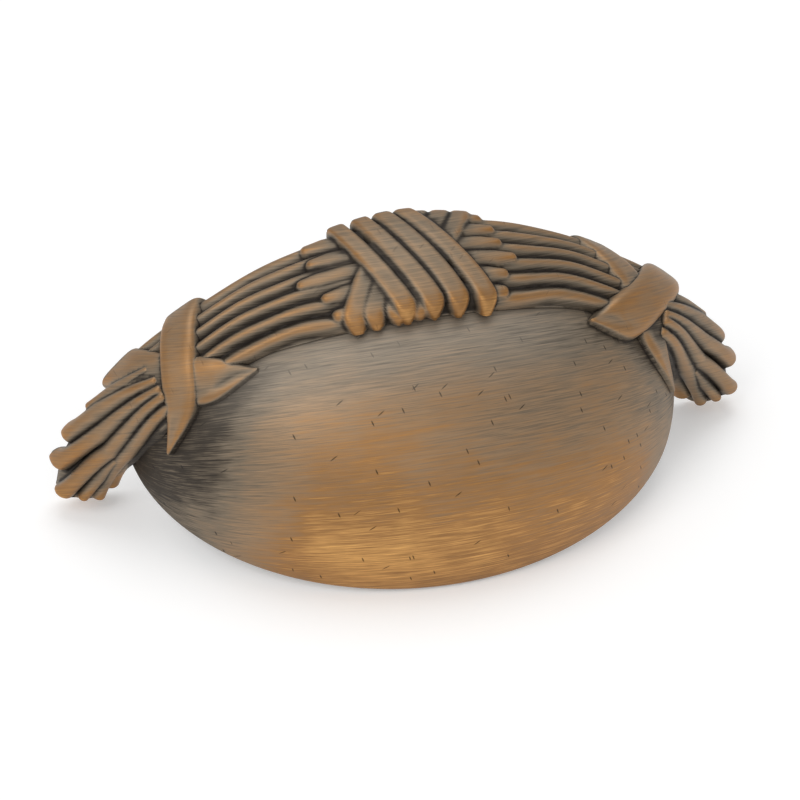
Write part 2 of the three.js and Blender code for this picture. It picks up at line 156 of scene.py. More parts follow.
def half_stations():
    """Stations from the middle of the arch to the foot of the right wing. The last two are off
    the cup, so their outer edge, inner edge and lift are written out."""
    end, angle = CUP_HALF_WIDTH, ARCH_INNER_ANGLE
    return np.array([
        on_cup(90.0, angle, 2.3, ARCH_LIFT),
        on_cup(72.2, angle, 1.4, ARCH_LIFT),
        on_cup(56.7, angle, 0.8, ARCH_LIFT),
        on_cup(41.9, angle - 5, 1.0, ARCH_LIFT + 0.2),
        on_cup(27.4, angle - 12, 2.6, ARCH_LIFT + 0.5),
        on_cup(11.3, angle - 30, 5.8, (ARCH_LIFT + WING_LIFT) / 2),
        [end + WING_REACH - 1.8, 0, LIP_DROP + 0.4, end + 2.2, -1.2, LIP_DROP - 2.6, WING_LIFT],
        [end + WING_REACH - 0.3, 0, WING_FOOT + 2.0, end + 3.8, 0, WING_FOOT, WING_LIFT],
    ])


RIGHT_HALF = half_stations()
MIRROR = np.array([-1, 1, 1, -1, 1, 1, 1])
STATIONS = np.vstack([RIGHT_HALF[:0:-1] * MIRROR, RIGHT_HALF])


def catmull_rom(rows, place):
    """The curve through all rows at a place from 0 to 1: on each span a cubic whose slope at each
    row is half the step between the rows before and after it."""
    spans = len(rows) - 1
    at = np.clip(place, 0, 1) * spans
    first = np.clip(np.floor(at).astype(int), 0, spans - 1)
    part = (at - first)[..., None]
    padded = np.vstack([2 * rows[0] - rows[1], rows, 2 * rows[-1] - rows[-2]])
    a, b, c, d = (padded[first + step] for step in range(4))
    cubic = (3 * b - a - 3 * c + d) * part ** 3 + (2 * a - 5 * b + 4 * c - d) * part ** 2
    return (cubic + (c - a) * part + 2 * b) / 2


CURVE_SAMPLES = 2001
PLACES = np.linspace(0, 1, CURVE_SAMPLES)
MIDDLES = catmull_rom(STATIONS, PLACES)
MIDDLES = (MIDDLES[:, 0:3] + MIDDLES[:, 3:6]) / 2
LENGTHS = np.concatenate([[0], np.cumsum(np.linalg.norm(np.diff(MIDDLES, axis=0), axis=1))])
LENGTHS = LENGTHS - LENGTHS[-1] / 2
HALF_LENGTH = LENGTHS[-1]
print("arch from tip to tip, mm:", round(2 * HALF_LENGTH, 1))


def section(along):
    """Outer edge, inner edge and lift of the arch at distances from its middle."""
    rows = catmull_rom(STATIONS, np.interp(along, LENGTHS, PLACES))
    return rows[..., 0:3], rows[..., 3:6], rows[..., 6:7]


def unit(vectors):
    """Vectors divided by their lengths."""
    return vectors / np.maximum(np.linalg.norm(vectors, axis=-1, keepdims=True), 1e-9)


SLOPE_STEP, SHARE_STEP = 0.05, 0.01


def arch_point(along, across):
    """The smooth arch: outer edge, plus a share of the way to the inner edge, plus a bow whose
    height is (1 - (2 share - 1)^2)^ARCH_CROWN_POWER of the lift."""
    outer, inner, lift = section(along)
    ahead, behind = section(along + SLOPE_STEP)[0], section(along - SLOPE_STEP)[0]
    raise_way = unit(np.cross(inner - outer, ahead - behind))
    share = across[..., None]
    bow = np.maximum(1 - (2 * share - 1) ** 2, 0) ** ARCH_CROWN_POWER
    return outer + (inner - outer) * share + raise_way * lift * bow


def arch_normal(along, across):
    """The outward direction: the slope across the arch crossed with the slope along it."""
    high, low = np.minimum(across + SHARE_STEP, 1), np.maximum(across - SHARE_STEP, 0)
    slope = arch_point(along, high) - arch_point(along, low)
    run = section(along + SLOPE_STEP)[0] - section(along - SLOPE_STEP)[0]
    return unit(np.cross(slope, run))


# %% [markdown]
# The carving is a height over the smooth arch, so reeds, bands, fingers and lobes are all written
# in the same flat coordinates: millimetres along the arch and millimetres up its face. Each is a
# bar with round ends, and where several meet, the highest one wins, which is how a carver makes
# one strand pass over another.

# %% Carving tools
FAR_OFF = 9.0


def strand(along, up, line, widths, height, power=2.0):
    """Height of a round-ended strand that follows a bent line: height times the root of 1 minus
    (distance from the line over half the width) to a power. A higher power makes a flatter top."""
    off = np.full(np.shape(along), FAR_OFF)
    for start, end, first, last in zip(line[:-1], line[1:], widths[:-1], widths[1:]):
        way = np.array(end) - np.array(start)
        part = ((along - start[0]) * way[0] + (up - start[1]) * way[1]) / (way @ way)
        part = np.clip(part, 0, 1)
        far = np.hypot(along - start[0] - way[0] * part, up - start[1] - way[1] * part)
        off = np.minimum(off, 2 * far / (first + (last - first) * part))
    return height * np.sqrt(np.clip(1 - off ** power, 0, 1))


# %% Binding, fingers and lobes
OVER_BANDS = [(-9.0, -3.1), (-5.6, 0.6), (-2.6, 4.0), (0.2, 8.0)]
UNDER_BANDS = [(-0.6, -10.1), (2.5, -7.4), (5.6, -4.4), (8.6, -1.4)]


def binding(along, up, bands, height):
    """Flat bands. Each is given by its distances along the arch at its top and at its bottom."""
    shapes = [
        strand(along, up, [(top, BAND_REACH), (bottom, -BAND_END)], BAND_WIDTHS, height, BAND_POWER)
        for top, bottom in bands
    ]
    return np.max(shapes, axis=0)


FINGERS = {
    -1: [(6.0, 14.6), (2.9, 14.4), (-0.1, 16.4), (-3.3, 13.9), (-6.0, 13.2)],
    1: [(6.9, 11.4), (4.3, 12.3), (1.7, 12.6), (-0.9, 14.1), (-3.6, 12.3), (-6.1, 11.9)],
}
WIDEST_BACK, TIP_BACK = 3.4, 1.1


def fingers(along, up, side):
    """Leaf tips that show from under the binding: widest a little before the round tip."""
    shapes = []
    for height, reach in FINGERS[side]:
        widest, tip = side * (reach - WIDEST_BACK), side * (reach - TIP_BACK)
        line = [(0, height * FINGER_SPREAD), (widest, height), (tip, height)]
        widths = [FINGER_WIDTH * share for share in FINGER_SHARES]
        shapes.append(strand(along, up, line, widths, FINGER_HEIGHT, FINGER_POWER))
    return np.max(shapes, axis=0)


LOBES = [
    (((24.5, 0.6), (18.5, 2.3), (13.9, 3.7)), (1.6, 2.5, 1.4), 0.85),
    (((25.0, -1.5), (15.1, 2.2), (8.4, 3.9)), (1.6, 2.8, 1.7), 1.0),
    (((25.0, -2.8), (12.5, 0.5), (4.4, 3.5)), (1.6, 2.6, 1.7), 1.05),
    (((25.0, -3.7), (11.1, -1.5), (0.9, 2.3)), (1.6, 2.3, 2.0), 1.1),
    (((10.0, -2.4), (5.5, -1.3), (1.2, 0.2)), (0.9, 1.9, 1.5), 0.95),
    (((25.0, -4.9), (11.8, -3.2), (1.3, -1.6)), (1.4, 2.0, 1.6), 1.0),
    (((25.0, -6.2), (10.0, -4.9), (2.2, -3.5)), (1.6, 2.3, 1.6), 1.0),
]


def lobes(along, up, side):
    """Leaf lobes of a wing, fanned like feathers. Places are (back from the foot, up)."""
    shapes = []
    for line, widths, share in LOBES:
        placed = [(side * (HALF_LENGTH - back), height) for back, height in line]
        shapes.append(strand(along, up, placed, widths, LOBE_HEIGHT * share, 2.0))
    return np.max(shapes, axis=0)


def smoothstep(value, low, high):
    """0 below low, 1 above high, and a smooth S between them."""
    part = np.clip((value - low) / (high - low), 0, 1)
    return part * part * (3 - 2 * part)


REEDS_END, REED_FADE, REED_POWER = 43.0, 3.0, 1.1
# each wave: amount, turn for each millimetre along, turn across the arch, start
REED_WAVES = [(0.05, 0.31, 0.0, 1.0), (0.04, 0.53, 5.0, 0.0)]


def reeds(along, across):
    """Round reeds side by side: a sine across the arch to a power, a little wavy along it, fading
    under the ribbons."""
    fade = smoothstep(REEDS_END - np.abs(along), 0, REED_FADE)
    wave = 0
    for amount, turn, turn_across, start in REED_WAVES:
        wave = wave + amount * np.sin(along * turn + turn_across * across + start)
    return REED_HEIGHT * fade * np.abs(np.sin(np.pi * (REED_COUNT * across + wave))) ** REED_POWER


def carving(along, up, across):
    """The reeds and all that is laid over them, except the ribbons."""
    shapes = [
        reeds(along, across),
        binding(along, up, OVER_BANDS, OVER_BAND_HEIGHT),
        binding(along, up, UNDER_BANDS, UNDER_BAND_HEIGHT),
    ]
    for side in (-1, 1):
        shapes += [fingers(along, up, side), lobes(along, up, side)]
    return np.max(shapes, axis=0)


# %% [markdown]
# Now the surfaces become meshes. Each is a closed tube: rings of points joined by squares, with a
# fan at each end. The rings of the arch lean with the upper bands of the binding, so that the
# squares follow the carved edges instead of stepping across them.

# %% From rings to meshes


def tube_mesh(name, rings):
    """Joins rings of points, an array of rings by points by 3, into a closed mesh in metres. The
    volume is a sixth of the sum of a . (b x c) over the triangles. If it comes out below zero, the
    faces point inwards, and all are turned round."""
    count, size = rings.shape[:2]
    points = np.vstack([rings.reshape(-1, 3), rings[0].mean(0), rings[-1].mean(0)])
    i, j = np.meshgrid(np.arange(count - 1), np.arange(size), indexing="ij")
    a, b = i * size + j, i * size + (j + 1) % size
    squares = np.stack([a, b, b + size, a + size], axis=-1).reshape(-1, 4)
    ring = np.arange(size)
    after = (ring + 1) % size
    last = (count - 1) * size
    first_fan = np.stack([after, ring, np.full(size, count * size)], axis=-1)
    last_fan = np.stack([last + ring, last + after, np.full(size, count * size + 1)], axis=-1)
    corners = points[np.vstack([squares[:, :3], squares[:, [0, 2, 3]], first_fan, last_fan])]
    volume = np.einsum("ij,ij->i", corners[:, 0], np.cross(corners[:, 1], corners[:, 2])).sum() / 6
    if volume < 0:
        squares, first_fan, last_fan = squares[:, ::-1], first_fan[:, ::-1], last_fan[:, ::-1]
    mesh = bpy.data.meshes.new(name)
    faces = [*squares.tolist(), *first_fan.tolist(), *last_fan.tolist()]
    mesh.from_pydata((points * MM).tolist(), [], faces)
    piece = bpy.data.objects.new(name, mesh)
    bpy.context.scene.collection.objects.link(piece)
    print(name, "faces:", len(faces), "volume, mm3:", round(float(abs(volume)), 1))
    return piece


ARCH_ROWS = 101
BOUND_END, REEDS_STEP, FINE_STEP, PIECES_OF_REEDS = 17.0, 0.34, 0.2, (1, 3)


def ring_places():
    """Distances along the arch: close together on the binding and the wings, wider on the reeds."""
    stops = [-HALF_LENGTH, -REEDS_END, -BOUND_END, BOUND_END, REEDS_END, HALF_LENGTH]
    pieces = []
    for number, (start, end) in enumerate(zip(stops[:-1], stops[1:])):
        step = REEDS_STEP if number in PIECES_OF_REEDS else FINE_STEP
        pieces.append(np.linspace(start, end, int((end - start) / step), endpoint=False))
    return np.append(np.concatenate(pieces), HALF_LENGTH)


UPRIGHT_FROM = 20.0


def lean_at(middle):
    """How much a ring leans, as distance along for each distance up. It is an over band's own lean
    where that band crosses the middle, none beyond the fingers, and a straight line between."""
    rise = BAND_REACH + BAND_END
    tops, bottoms = np.array(OVER_BANDS).T
    places = [-UPRIGHT_FROM, *(tops + (bottoms - tops) * BAND_REACH / rise), UPRIGHT_FROM]
    return np.interp(middle, places, [0, *((tops - bottoms) / rise), 0])


def arch_rings():
    """Carved points of the arch. A ring is moved along by its lean times the distance up."""
    middle = ring_places()[:, None]
    across = np.linspace(0, 1, ARCH_ROWS)[None, :] + 0 * middle
    lean = lean_at(middle)
    outer, inner, _ = section(middle)
    along = middle + lean * (0.5 - across) * np.linalg.norm(inner - outer, axis=-1)
    along = np.clip(along, -HALF_LENGTH, HALF_LENGTH)
    outer, inner, _ = section(along)
    up = (0.5 - across) * np.linalg.norm(inner - outer, axis=-1)
    height = carving(along, up, across)
    points = arch_point(along, across) + arch_normal(along, across) * height[..., None]
    points[..., 1] = np.minimum(points[..., 1], 0)
    points[..., 2] = np.maximum(points[..., 2], 0)
    keel = points[:, -1:] * np.array([1, 0, 1])
    return np.concatenate([points, keel], axis=1)


CUP_RINGS, CUP_ROWS, LIP_ROWS = 360, 70, 7


def cup_rings():
    """The solid cup: outer arcs with a rounded lip, closed through the mounting face."""
    along = np.linspace(0, np.pi, CUP_RINGS + 2)[1:-1, None]
    rounding = LIP_ROUND / (CUP_DEPTH - LIP_ROUND)
    over = np.linspace(LIP_ANGLE + rounding, np.pi / 2, CUP_ROWS)[None, :]
    points = cup_point(along, over)
    turn = np.linspace(0, np.pi / 2, LIP_ROWS)[None, :-1]
    lip_over = LIP_ANGLE + rounding * (1 - np.cos(turn))
    lip = cup_point(along, lip_over, LIP_ROUND * (1 - np.sin(turn)))
    axis = cup_point(along, 0.0) * np.array([1, 0, 1])
    return np.concatenate([axis, lip, points], axis=1)


# %% [markdown]
# A ribbon is not a bump on the arch: it bridges the corner between arch and cup and ends in a
# slanted tail on the cup. So it is a strip of its own. Its middle line is drawn in the flat
# coordinates, carried onto the plain surface, and averaged along its length until it bridges the
# corner, as a stiff strip would. At each side one ribbon falls steeply and one lies flatter.

# %% Ribbons
CUP_END_LIMIT = 0.99


def carrier(along, up):
    """The plain surface at flat coordinates: the arch, below its inner edge the cup, and past its
    outer edge straight back."""
    outer, inner, _ = section(along)
    half = np.linalg.norm(inner - outer, axis=-1) / 2
    on_arch = arch_point(along, np.clip((half - up) / (2 * half), 0, 1))
    on_arch[..., 1] += np.maximum(up - half, 0)
    sideways = inner[..., 0] / CUP_HALF_WIDTH
    angle = np.arccos(np.clip(sideways, -CUP_END_LIMIT, CUP_END_LIMIT))
    edge = np.arctan2((inner[..., 2] - LIP_DROP) / CUP_RISE, -inner[..., 1] / CUP_DEPTH)
    turn = (up + half) / (CUP_RADIUS * np.sin(angle))
    on_cup = cup_point(angle, edge + np.minimum(turn, 0))
    return np.where((up < -half)[..., None], on_cup, on_arch)


STEEP_RIBBONS = {
    -1: [(30.8, 9.6), (32.3, 6.4), (33.5, 3.0), (35.0, -2.2), (37.6, -7.2), (40.4, -11.2)],
    1: [(27.0, 9.6), (30.0, 4.6), (33.0, 0.0), (36.0, -4.2), (39.3, -8.6), (42.2, -12.6)],
}
FLAT_RIBBONS = {
    -1: [(46.4, 8.6), (42.6, 3.6), (39.2, -0.4), (35.0, -3.9), (30.6, -6.8), (25.3, -9.2)],
    1: [(44.6, 8.6), (40.6, 3.8), (37.0, -0.2), (33.2, -4.2), (29.4, -7.4), (25.0, -9.6)],
}
RIBBON_STEPS, RIBBON_ACROSS, TAIL_SHARE, BRIDGING = 72, 21, 0.24, 40
RIBBON_ROOT, RIBBON_POWER = 3.0, 6.0
TAIL_CURVE, TAIL_NARROWING, TAIL_THINNING = 1.2, 0.93, 0.5


def ribbon_rings(path, side, height, tip_aside):
    """Rings of a strip. Its top stands out by height times the root of 1 minus the share of the
    half width to a power, and its underside is sunk. Towards its end it narrows to a tip."""
    place = np.linspace(0, 1, RIBBON_STEPS)[:, None]
    across = np.sin(np.linspace(-np.pi / 2, np.pi / 2, RIBBON_ACROSS))[None, :]
    centre = catmull_rom(np.array(path) * [side, 1], place[:, 0])
    way = unit(np.gradient(centre, axis=0))
    tail = np.clip((place - 1 + TAIL_SHARE) / TAIL_SHARE, 0, 1)
    narrowing = tail ** TAIL_CURVE
    half = RIBBON_WIDTH / 2 * (1 - TAIL_NARROWING * narrowing)
    aside = across * half + tip_aside * narrowing
    along = centre[:, :1] - way[:, 1:] * aside
    up = centre[:, 1:] + way[:, :1] * aside
    surface = carrier(along, up)
    for _ in range(BRIDGING):
        middle = (surface[:-2] + 2 * surface[1:-1] + surface[2:]) / 4
        surface = np.concatenate([surface[:1], middle, surface[-1:]])
    normal = unit(np.cross(np.gradient(surface, axis=0), np.gradient(surface, axis=1)))
    outward = np.sign(np.einsum("ijk,ijk->ij", normal, surface - [0, 0, LIP_DROP]))[..., None]
    flat_top = np.sqrt(1 - np.abs(across) ** RIBBON_POWER)
    top = height * (1 - TAIL_THINNING * tail) * flat_top
    upper = surface + normal * outward * top[..., None]
    lower = surface - normal * outward * RIBBON_ROOT
    return np.concatenate([upper, lower[:, ::-1]], axis=1)


# %% The finger space, the screw posts and their threads
HOLLOW_RINGS, HOLLOW_SIDES, ROD_SIDES, THREAD_RINGS = 150, 160, 48, 112
BLOCK_DEPTH, BLOCK_REACH = 30.0, 70.0


def hollow_rings():
    """The finger space: a whole ellipsoid, smaller than the cup by the wall."""
    along = np.linspace(0, np.pi, HOLLOW_RINGS + 2)[1:-1, None]
    over = np.linspace(0, 2 * np.pi, HOLLOW_SIDES, endpoint=False)[None, :]
    return cup_point(along, over, WALL)


def rod_rings(x, radius, depths):
    """A rod along Y at a screw post. Radius is one number, or one for each depth and angle."""
    angle = np.linspace(0, 2 * np.pi, ROD_SIDES, endpoint=False)[None, :]
    depth = depths[:, None]
    radius = radius + 0 * angle + 0 * depth
    parts = (x + radius * np.cos(angle), depth + 0 * angle, POST_HEIGHT - radius * np.sin(angle))
    return np.stack(parts, axis=-1)


def thread_radius(depths):
    """A screw thread: the radius rises and falls once in each pitch, later at each depth."""
    angle = np.linspace(0, 2 * np.pi, ROD_SIDES, endpoint=False)[None, :]
    turn = depths[:, None] / THREAD_PITCH - angle / (2 * np.pi)
    return HOLE_RADIUS + THREAD_DEPTH * np.abs(2 * (turn - np.floor(turn)) - 1)


# %% [markdown]
# The casting is joined as it is in the solid model. Cup, arch and ribbons are the outside. It is
# cut off flat at the mounting face, and the threaded holes are cut into it. The finger space has
# the two screw posts taken out of it before it is cut away, which leaves the posts standing.
# Blender's Manifold boolean does each cut exactly.

# %% Join and cut


def boolean(piece, other, operation):
    """Joins, cuts or keeps the common part of two closed pieces, and applies the result."""
    modifier = piece.modifiers.new(operation.lower(), "BOOLEAN")
    modifier.operation = operation
    modifier.solver = "MANIFOLD"
    modifier.object = other
    graph = bpy.context.evaluated_depsgraph_get()
    result = bpy.data.meshes.new_from_object(piece.evaluated_get(graph))
    piece.modifiers.clear()
    piece.data = result
    bpy.data.objects.remove(other)
    return piece


def behind_rings():
    """A block that fills the space behind the mounting face."""
    y = BLOCK_DEPTH * np.array([0, 0, 1, 1])
    z = np.array([-BLOCK_DEPTH, BLOCK_REACH, BLOCK_REACH, -BLOCK_DEPTH])
    ends = (-BLOCK_REACH, BLOCK_REACH)
    return np.stack([np.stack([np.full(4, x), y, z], axis=-1) for x in ends])


def make_casting():
    """Outside, less the holes, less what is left of the hollow without the posts."""
    outside = tube_mesh("cup_pull_casting", cup_rings())
    outside = boolean(outside, tube_mesh("arch", arch_rings()), "UNION")
    for side in (-1, 1):
        steep_height, flat_height = OVER_RIBBON_HEIGHT, UNDER_RIBBON_HEIGHT
        if side > 0:
            steep_height, flat_height = flat_height, steep_height
        steep = ribbon_rings(STEEP_RIBBONS[side], side, steep_height, side * STEEP_TIP_ASIDE)
        outside = boolean(outside, tube_mesh("steep_ribbon", steep), "UNION")
        flat = ribbon_rings(FLAT_RIBBONS[side], side, flat_height, side * FLAT_TIP_ASIDE)
        outside = boolean(outside, tube_mesh("flat_ribbon", flat), "UNION")
    outside = boolean(outside, tube_mesh("behind", behind_rings()), "DIFFERENCE")
    hollow = tube_mesh("hollow", hollow_rings())
    hole_depths = np.linspace(-HOLE_DEPTH, 1, THREAD_RINGS)
    post_depths = np.array([-CUP_DEPTH, 0, 1])
    for side in (-1, 1):
        x = side * HOLE_SPACING / 2
        hole = tube_mesh("hole", rod_rings(x, thread_radius(hole_depths), hole_depths))
        outside = boolean(outside, hole, "DIFFERENCE")
        post = tube_mesh("post", rod_rings(x, POST_RADIUS, post_depths))
        hollow = boolean(hollow, post, "DIFFERENCE")
    return boolean(outside, hollow, "DIFFERENCE")


casting = make_casting()
print("casting triangles:", sum(len(face.vertices) - 2 for face in casting.data.polygons))

# %% [markdown]
# Molten metal rounds every corner of its mould and fills every groove a little. Averaging each
# point with its neighbours does the same to the mesh. The mounting face, the feet and the threads
# keep their places. The same averaging, repeated many times, later tells crests from grooves.

# %% Soften the carving


def read_points(mesh):
    """The vertices in millimetres, as rows of three numbers."""
    flat = np.empty(len(mesh.vertices) * 3)
    mesh.vertices.foreach_get("co", flat)
    return flat.reshape(-1, 3) / MM


LONGEST_EDGE = 1.6


def read_pairs(mesh):
    """The two ends of every edge up to LONGEST_EDGE: the cuts leave long edges on flat faces, and
    those join points that are no neighbours."""
    flat = np.empty(len(mesh.edges) * 2, np.int32)
    mesh.edges.foreach_get("vertices", flat)
    ends = flat.reshape(-1, 2)
    places = read_points(mesh)
    lengths = np.linalg.norm(places[ends[:, 0]] - places[ends[:, 1]], axis=1)
    return ends[lengths < LONGEST_EDGE]


def spread(values, pairs, rounds):
    """Half of each point's value plus half of the mean of its neighbours', once for each round."""
    first, second = pairs.T
    count = len(values)
    degree = np.maximum(np.bincount(pairs.ravel(), minlength=count), 1)
    for _ in range(rounds):
        sums = [
            np.bincount(first, column[second], count) + np.bincount(second, column[first], count)
            for column in values.T
        ]
        values = (values + np.stack(sums, axis=-1) / degree[:, None]) / 2
    return values


SOFT_ROUNDS, THREAD_MARGIN, FACE_MARGIN = 1, 0.1, 0.02
points, pairs = read_points(casting.data), read_pairs(casting.data)
from_post = np.hypot(np.abs(points[:, 0]) - HOLE_SPACING / 2, points[:, 2] - POST_HEIGHT)
in_thread = from_post < HOLE_RADIUS + THREAD_DEPTH + THREAD_MARGIN
in_thread = in_thread & (points[:, 1] > -HOLE_DEPTH - THREAD_MARGIN)
fixed = (points[:, 1] > -FACE_MARGIN) | (points[:, 2] < FACE_MARGIN) | in_thread
softened = np.where(fixed[:, None], points, spread(points, pairs, SOFT_ROUNDS))
largest_move = np.linalg.norm(softened - points, axis=1).max()
print("largest move by softening, mm:", round(float(largest_move), 2))
points = softened

# %% Stand the casting over the origin
SHARP_ANGLE = math.radians(55)


def write_points(mesh, rows):
    """Puts rows of millimetres into the mesh, in metres."""
    mesh.vertices.foreach_set("co", (rows * MM).ravel())
    mesh.update()


write_points(casting.data, points + [0, BACK, 0])
casting.data.shade_smooth()
casting.data.set_sharp_from_angle(angle=SHARP_ANGLE)
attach(casting, "root")
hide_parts("cup_pull")

# %% [markdown]
# The finish is made in the order that the plater works in. The whole casting is copper plated and
# blackened, and a fine brush then takes the black off wherever it can reach: crests, ribbon faces
# and the belly of the cup. So the wear is measured on the mesh. A point that stands above the
# average of its neighbourhood is a crest, and one that lies below it is a groove.

# %% Crests and grooves


def stands_out(rows, normals, rounds):
    """How far each point stands out of its neighbourhood, along its normal, in millimetres."""
    return np.einsum("ij,ij->i", rows - spread(rows, pairs, rounds), normals)


flat_normals = np.empty(len(casting.data.vertices) * 3, np.float32)
casting.data.vertex_normals.foreach_get("vector", flat_normals)
normals = flat_normals.reshape(-1, 3).astype(float)
NEAR_ROUNDS, WIDE_ROUNDS = 8, 120
near = stands_out(points, normals, NEAR_ROUNDS)
wide = stands_out(points, normals, WIDE_ROUNDS)
print("near, mm:", np.percentile(near, [2, 50, 98]).round(3))
print("wide, mm:", np.percentile(wide, [2, 50, 98]).round(3))

# %% [markdown]
# A belt or a soft wheel runs along the pull, so the brush lines lie along it, side by side, and
# leave the cup at its edges instead of meeting at its ends. On the cup the lines are told apart by
# their distance over the middle line of the belly, on the rest by a mean of height and depth.

# %% Places on the cup
INSIDE_SHELL, AT_WALL, TURNED_BACK, MELON_MARGIN, NOT_ZERO = 0.972, -0.05, 0.6, 2, 1e-6
x, y, z = points.T
melon_along = np.arccos(np.clip(x / (CUP_HALF_WIDTH + MELON_MARGIN), -1, 1))
out, over = np.maximum(-y, 0) / CUP_DEPTH, (z - LIP_DROP) / CUP_RISE
melon_over = np.arctan2(over, out + NOT_ZERO)
shell = np.sqrt((x / CUP_HALF_WIDTH) ** 2 + (y / CUP_DEPTH) ** 2 + over ** 2)
hidden = (shell < INSIDE_SHELL) | ((y > AT_WALL) & (normals[:, 1] > TURNED_BACK))


def edge_of_arch(x):
    """The angle over the cup at which the arch's inner edge lies, for places across the pull."""
    inner = section(LENGTHS)[1]
    angle = np.arctan2((inner[:, 2] - LIP_DROP) / CUP_RISE, -inner[:, 1] / CUP_DEPTH)
    return np.interp(x, inner[:, 0], angle)


BELLY_ANGLE, BRUSH_GATHER = math.radians(35), 0.8
BELOW_ARCH, ON_SHELL = (-0.3, 0.5), (-1.03, -1.012)
HEIGHT_SHARE, DEPTH_SHARE, HIDDEN_SHIFT = 0.85, 0.5, 30.0
below = (edge_of_arch(x) - melon_over) * CUP_RADIUS
over_lip = (melon_over - LIP_ANGLE) * CUP_RADIUS
on_dome = smoothstep(below, *BELOW_ARCH) * smoothstep(-shell, *ON_SHELL) * ~hidden
over_cup = (melon_over - BELLY_ANGLE) * CUP_RADIUS * np.sin(melon_along) ** BRUSH_GATHER
elsewhere = HEIGHT_SHARE * z + DEPTH_SHARE * y + HIDDEN_SHIFT * hidden
brush = np.stack([x, np.where(on_dome > 0.5, over_cup, elsewhere), y], axis=-1)

# %% [markdown]
# How much black is left, from 0 for all of it to 1 for bare copper, with painted highlights added.
# The belly of the cup is lighter near the lip and darker towards the bundle and at both ends, and
# one patch to the right of the middle is darker. Two patches left of the middle are a painted
# highlight, the reflection of a soft box. The top of the cup has a painted sheen, a pale grey
# reflection, and the lip a thin line of painted shade. The brush never reached the inside and the
# back.

# %% How far the brush went, and the painted highlights


def patch(middle, depth, size_x, size_y):
    """A soft round patch on the cup: e to the minus squared distance over squared size."""
    across = (x - middle) / size_x
    down = (below - depth) / size_y
    return np.exp(-across ** 2 - down ** 2)


def add_slopes(start, slopes):
    """A start, plus an amount times a soft step for each (amount, value, low, high)."""
    total = start
    for amount, value, low, high in slopes:
        total = total + amount * smoothstep(value, low, high)
    return total


BELLY_START, CARVED_START, HIDDEN_RUB, BACKWARD_SHARE = 0.22, 0.07, 0.1, 0.5
upward = normals[:, 2] + BACKWARD_SHARE * normals[:, 1]
# slopes: (amount, value, from, to); patches: (amount, middle, depth, size across, size down)
BELLY_SLOPES = [(0.27, below, 3, 13), (0.22, below, 16, 34), (-0.58, -x, 18, 38), (-0.3, x, 24, 40)]
# the two brighter patches, left of the middle, are a painted highlight: the reflection of a soft box
# on the cup; the darker one right of the middle is a darker spot
BELLY_PATCHES_AND_HIGHLIGHTS = [(-0.1, 18, 14, 9, 8), (0.12, -13, 24, 13, 15), (0.14, -12, 38, 16, 6)]
CREST_GAIN, CREST_RANGE = 2.5, (-0.04, 0.06)
CARVED_SLOPES = [
    (0.43, wide, -0.1, 0.4), (-0.15, upward, 0.45, 1),
    (0.1, -np.abs(x), -17, -10), (0.1, -x, 38, 44),
]
belly_rub_and_highlight = add_slopes(BELLY_START, BELLY_SLOPES)
for amount, *spot in BELLY_PATCHES_AND_HIGHLIGHTS:
    belly_rub_and_highlight = belly_rub_and_highlight + amount * patch(*spot)
carved = add_slopes(CARVED_START, CARVED_SLOPES) + CREST_GAIN * np.clip(near, *CREST_RANGE)
rub_and_highlight = np.clip(on_dome * belly_rub_and_highlight + (1 - on_dome) * carved, 0, 1)
rub_and_highlight = np.where(hidden, HIDDEN_RUB, rub_and_highlight)

# painted sheen: a pale grey reflection laid over the top of the cup under the arch, as a mask
SHEEN_DEPTHS, SHEEN_MIDDLE, SHEEN_SIDES = (-15, -2), -5, (-32, -16)
sheen_aside = smoothstep(-np.abs(x - SHEEN_MIDDLE), *SHEEN_SIDES)
painted_sheen = on_dome * smoothstep(-below, *SHEEN_DEPTHS) * sheen_aside

# painted shade: a thin dark line along the underside of the lip, joined into the groove mask, which
# otherwise holds the dark patina of the grooves
LIP_SHADE, LIP_HEIGHTS, LIP_SHELL, LIP_SHELL_HALF = 0.8, (-0.6, -0.1), 0.995, 0.015
GROOVE_GAIN, GROOVE_START, FOOT_FADE = 13, 0.12, (0.1, 1.0)
at_lip = np.abs(shell - LIP_SHELL) < LIP_SHELL_HALF
painted_lip_shade = LIP_SHADE * smoothstep(-over_lip, *LIP_HEIGHTS) * at_lip
groove_and_lip_shade = np.clip(np.maximum(-near * GROOVE_GAIN - GROOVE_START, painted_lip_shade), 0, 1) * ~hidden
groove_and_lip_shade = groove_and_lip_shade * smoothstep(-y, *FOOT_FADE)
print("rubbed, share of the points:", round(float((rub_and_highlight > 0.5).mean()), 2))

# %% Keep the measurements on the mesh


def keep(mesh, name, values):
    """Stores one value or one vector for each vertex."""
    kind, field = ("FLOAT_VECTOR", "vector") if values.ndim == 2 else ("FLOAT", "value")
    attribute = mesh.attributes.new(name, kind, "POINT")
    attribute.data.foreach_set(field, np.ascontiguousarray(values, np.float32).ravel())


MEASUREMENTS = {
    "rub_and_highlight": rub_and_highlight, "groove_and_lip_shade": groove_and_lip_shade, "brush": brush, "cup": on_dome, "painted_sheen": painted_sheen, "hidden": hidden,
}
for name, values in MEASUREMENTS.items():
    keep(casting.data, name, values)

# %% [markdown]
# The finish is made of a few small node groups, so that each effect can be tried by itself. They
# give masks and values only, and the metal itself is mixed in the material.

# %% Helpers for nodes


def add(tree, kind, inputs=None, **settings):
    """Adds a node, sets its options, and fills or connects its inputs."""
    node = tree.nodes.new(kind)
    for name, value in settings.items():
        setattr(node, name, value)
    for name, value in (inputs or {}).items():
        socket = node.inputs[name]
        if isinstance(value, bpy.types.NodeSocket):
            tree.links.new(value, socket)
        else:
            socket.default_value = value
    return node


